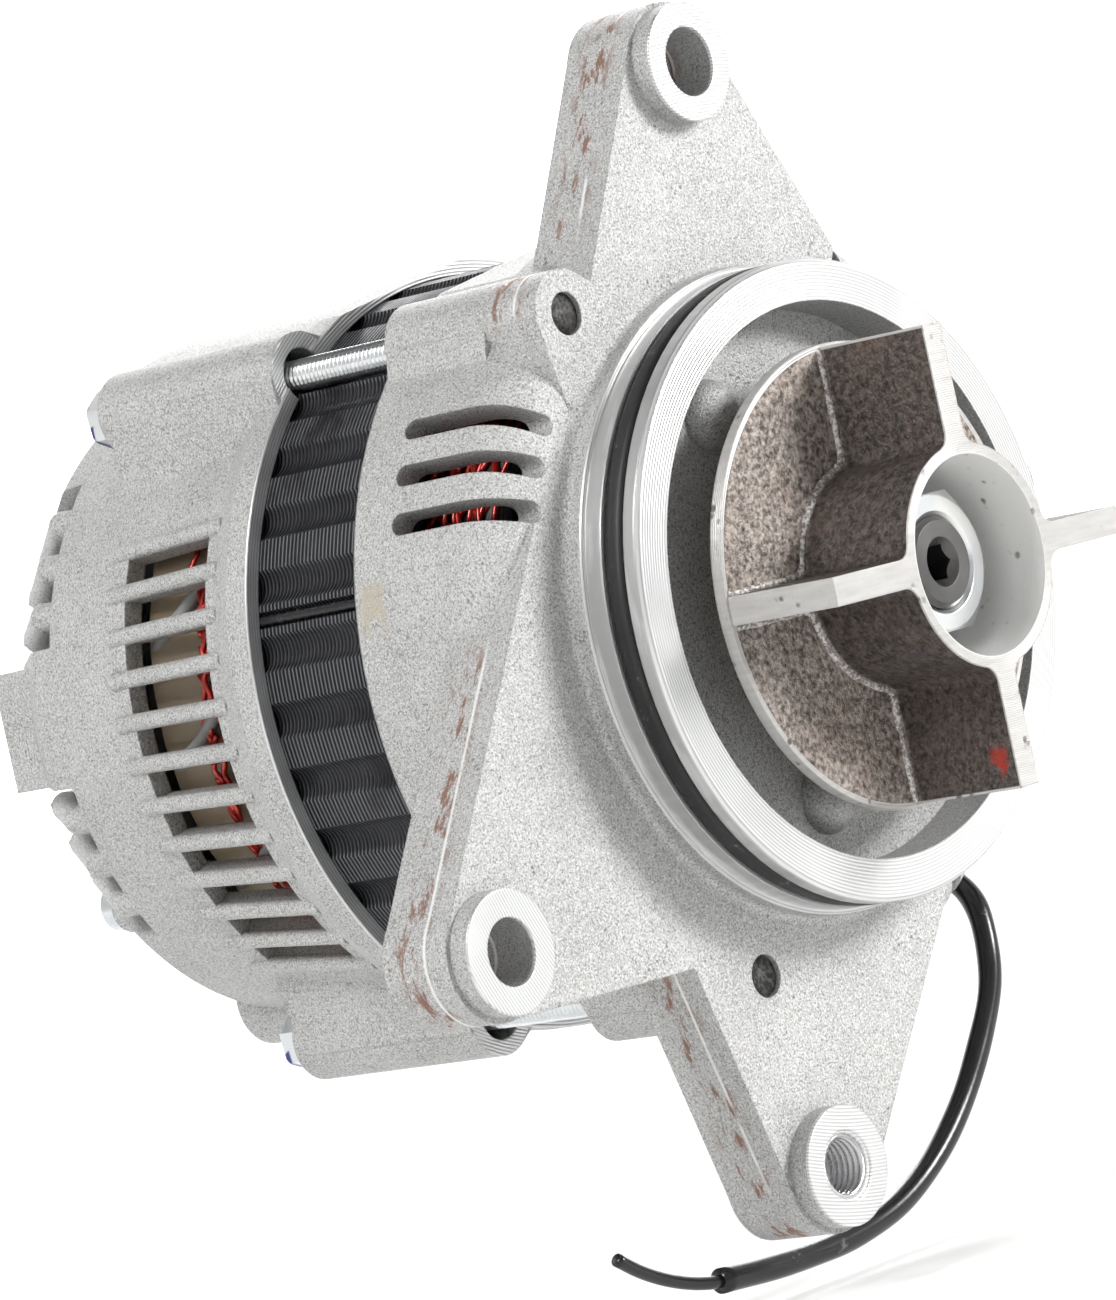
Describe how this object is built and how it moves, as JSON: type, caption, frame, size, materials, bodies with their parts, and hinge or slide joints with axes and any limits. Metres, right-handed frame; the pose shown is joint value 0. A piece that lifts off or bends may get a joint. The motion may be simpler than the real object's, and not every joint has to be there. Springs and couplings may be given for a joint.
{
  "type": "alternator",
  "caption": "Alternator with a round flange pilot, three mounting ears, a four-vane drive coupling, slotted cast brackets round a bare fluted stator, and a sleeved lead.",
  "frame": {"origin": "on the shaft axis in the plane of the machined ear faces, at the rear end of the pilot", "axes": "-Y along the shaft to the drive end, +Y to the rear bracket, +Z to the plain upper ear, +X to the side away from the side ear"},
  "size_m": [0.181, 0.206, 0.2237],
  "materials": {
    "cast_aluminium": "blasted casting",
    "coupling_iron": "rough casting with machined edges",
    "zinc_steel": "bright zinc plated",
    "shaft_steel": "dark machined steel",
    "bearing_steel": "ground bearing steel",
    "pole_iron": "dark forged iron",
    "lamination": "black varnished laminations",
    "fan_steel": "pressed steel",
    "copper": "red enamelled copper wire",
    "ring_copper": "turned copper",
    "brass_stud": "bright brass",
    "plate_aluminium": "pressed aluminium plate",
    "rubber_black": "black rubber",
    "sleeve_black": "glossy black sleeve",
    "resin_tan": "tan moulded resin",
    "resin_dark": "dark moulded resin",
    "carbon": "pressed carbon"
  },
  "bodies": {
    "housing": {"front_bracket": "cast_aluminium", "rear_bracket": "cast_aluminium", "through_bolts": "zinc_steel", "bolt_spring_washers": "zinc_steel", "retainer_screws": "zinc_steel", "rear_screws": "zinc_steel", "stud_nut": "zinc_steel", "ear_bush": "zinc_steel", "brush_spring_front": "zinc_steel", "brush_spring_rear": "zinc_steel", "bearing_retainer": "shaft_steel", "front_bearing_outer": "bearing_steel", "rear_bearing_outer": "bearing_steel", "stator_core": "lamination", "stator_winding": "copper", "output_stud": "brass_stud", "positive_plate": "plate_aluminium", "negative_plate": "plate_aluminium", "rectifier_diodes": "plate_aluminium", "pilot_o_ring": "rubber_black", "shaft_seal": "rubber_black", "lead_grommet": "rubber_black", "lead_sleeve": "sleeve_black", "lead_wire": "sleeve_black", "rectifier_board": "resin_tan", "rectifier_spacers": "resin_tan", "brush_holder": "resin_dark", "voltage_regulator": "resin_dark", "stud_insulator": "resin_dark"},
    "rotor": {"rotor_shaft": "shaft_steel", "spacer_collar": "shaft_steel", "drive_coupling": "coupling_iron", "coupling_key": "shaft_steel", "coupling_washer": "zinc_steel", "coupling_nut": "zinc_steel", "front_bearing_inner": "bearing_steel", "rear_bearing_inner": "bearing_steel", "front_pole_piece": "pole_iron", "rear_pole_piece": "pole_iron", "rotor_core": "pole_iron", "coil_bobbin": "resin_tan", "field_coil": "copper", "front_fan": "fan_steel", "rear_fan": "fan_steel", "slip_ring_sleeve": "resin_dark", "slip_rings": "ring_copper"},
    "front_ball_set": {"front_bearing_balls": "bearing_steel", "front_bearing_cage": "resin_tan"},
    "rear_ball_set": {"rear_bearing_balls": "bearing_steel", "rear_bearing_cage": "resin_tan"},
    "front_brush_body": {"brush_front": "carbon"},
    "rear_brush_body": {"brush_rear": "carbon"}
  },
  "joints": [
    {"name": "rotor_spin", "type": "hinge", "parent": "housing", "child": "rotor", "pos_m": [0, 0.0115, 0], "axis": [0, 1, 0], "continuous": true},
    {"name": "front_balls_spin", "type": "hinge", "parent": "housing", "child": "front_ball_set", "pos_m": [0, 0.0115, 0], "axis": [0, 1, 0], "continuous": true},
    {"name": "rear_balls_spin", "type": "hinge", "parent": "housing", "child": "rear_ball_set", "pos_m": [0, 0.1345, 0], "axis": [0, 1, 0], "continuous": true},
    {"name": "front_brush_slide", "type": "slide", "parent": "housing", "child": "front_brush_body", "axis": [0, 0, 1], "range_m": [0, 0.004], "stiffness_N_per_m": 60, "springref_m": -0.002, "deforming": ["brush_spring_front"]},
    {"name": "rear_brush_slide", "type": "slide", "parent": "housing", "child": "rear_brush_body", "axis": [0, 0, 1], "range_m": [0, 0.004], "stiffness_N_per_m": 60, "springref_m": -0.002, "deforming": ["brush_spring_rear"]}
  ],
  "couplings": [
    {"joint": "front_balls_spin", "follows": "rotor_spin", "ratio": 0.3641},
    {"joint": "rear_balls_spin", "follows": "rotor_spin", "ratio": 0.384}
  ]
}
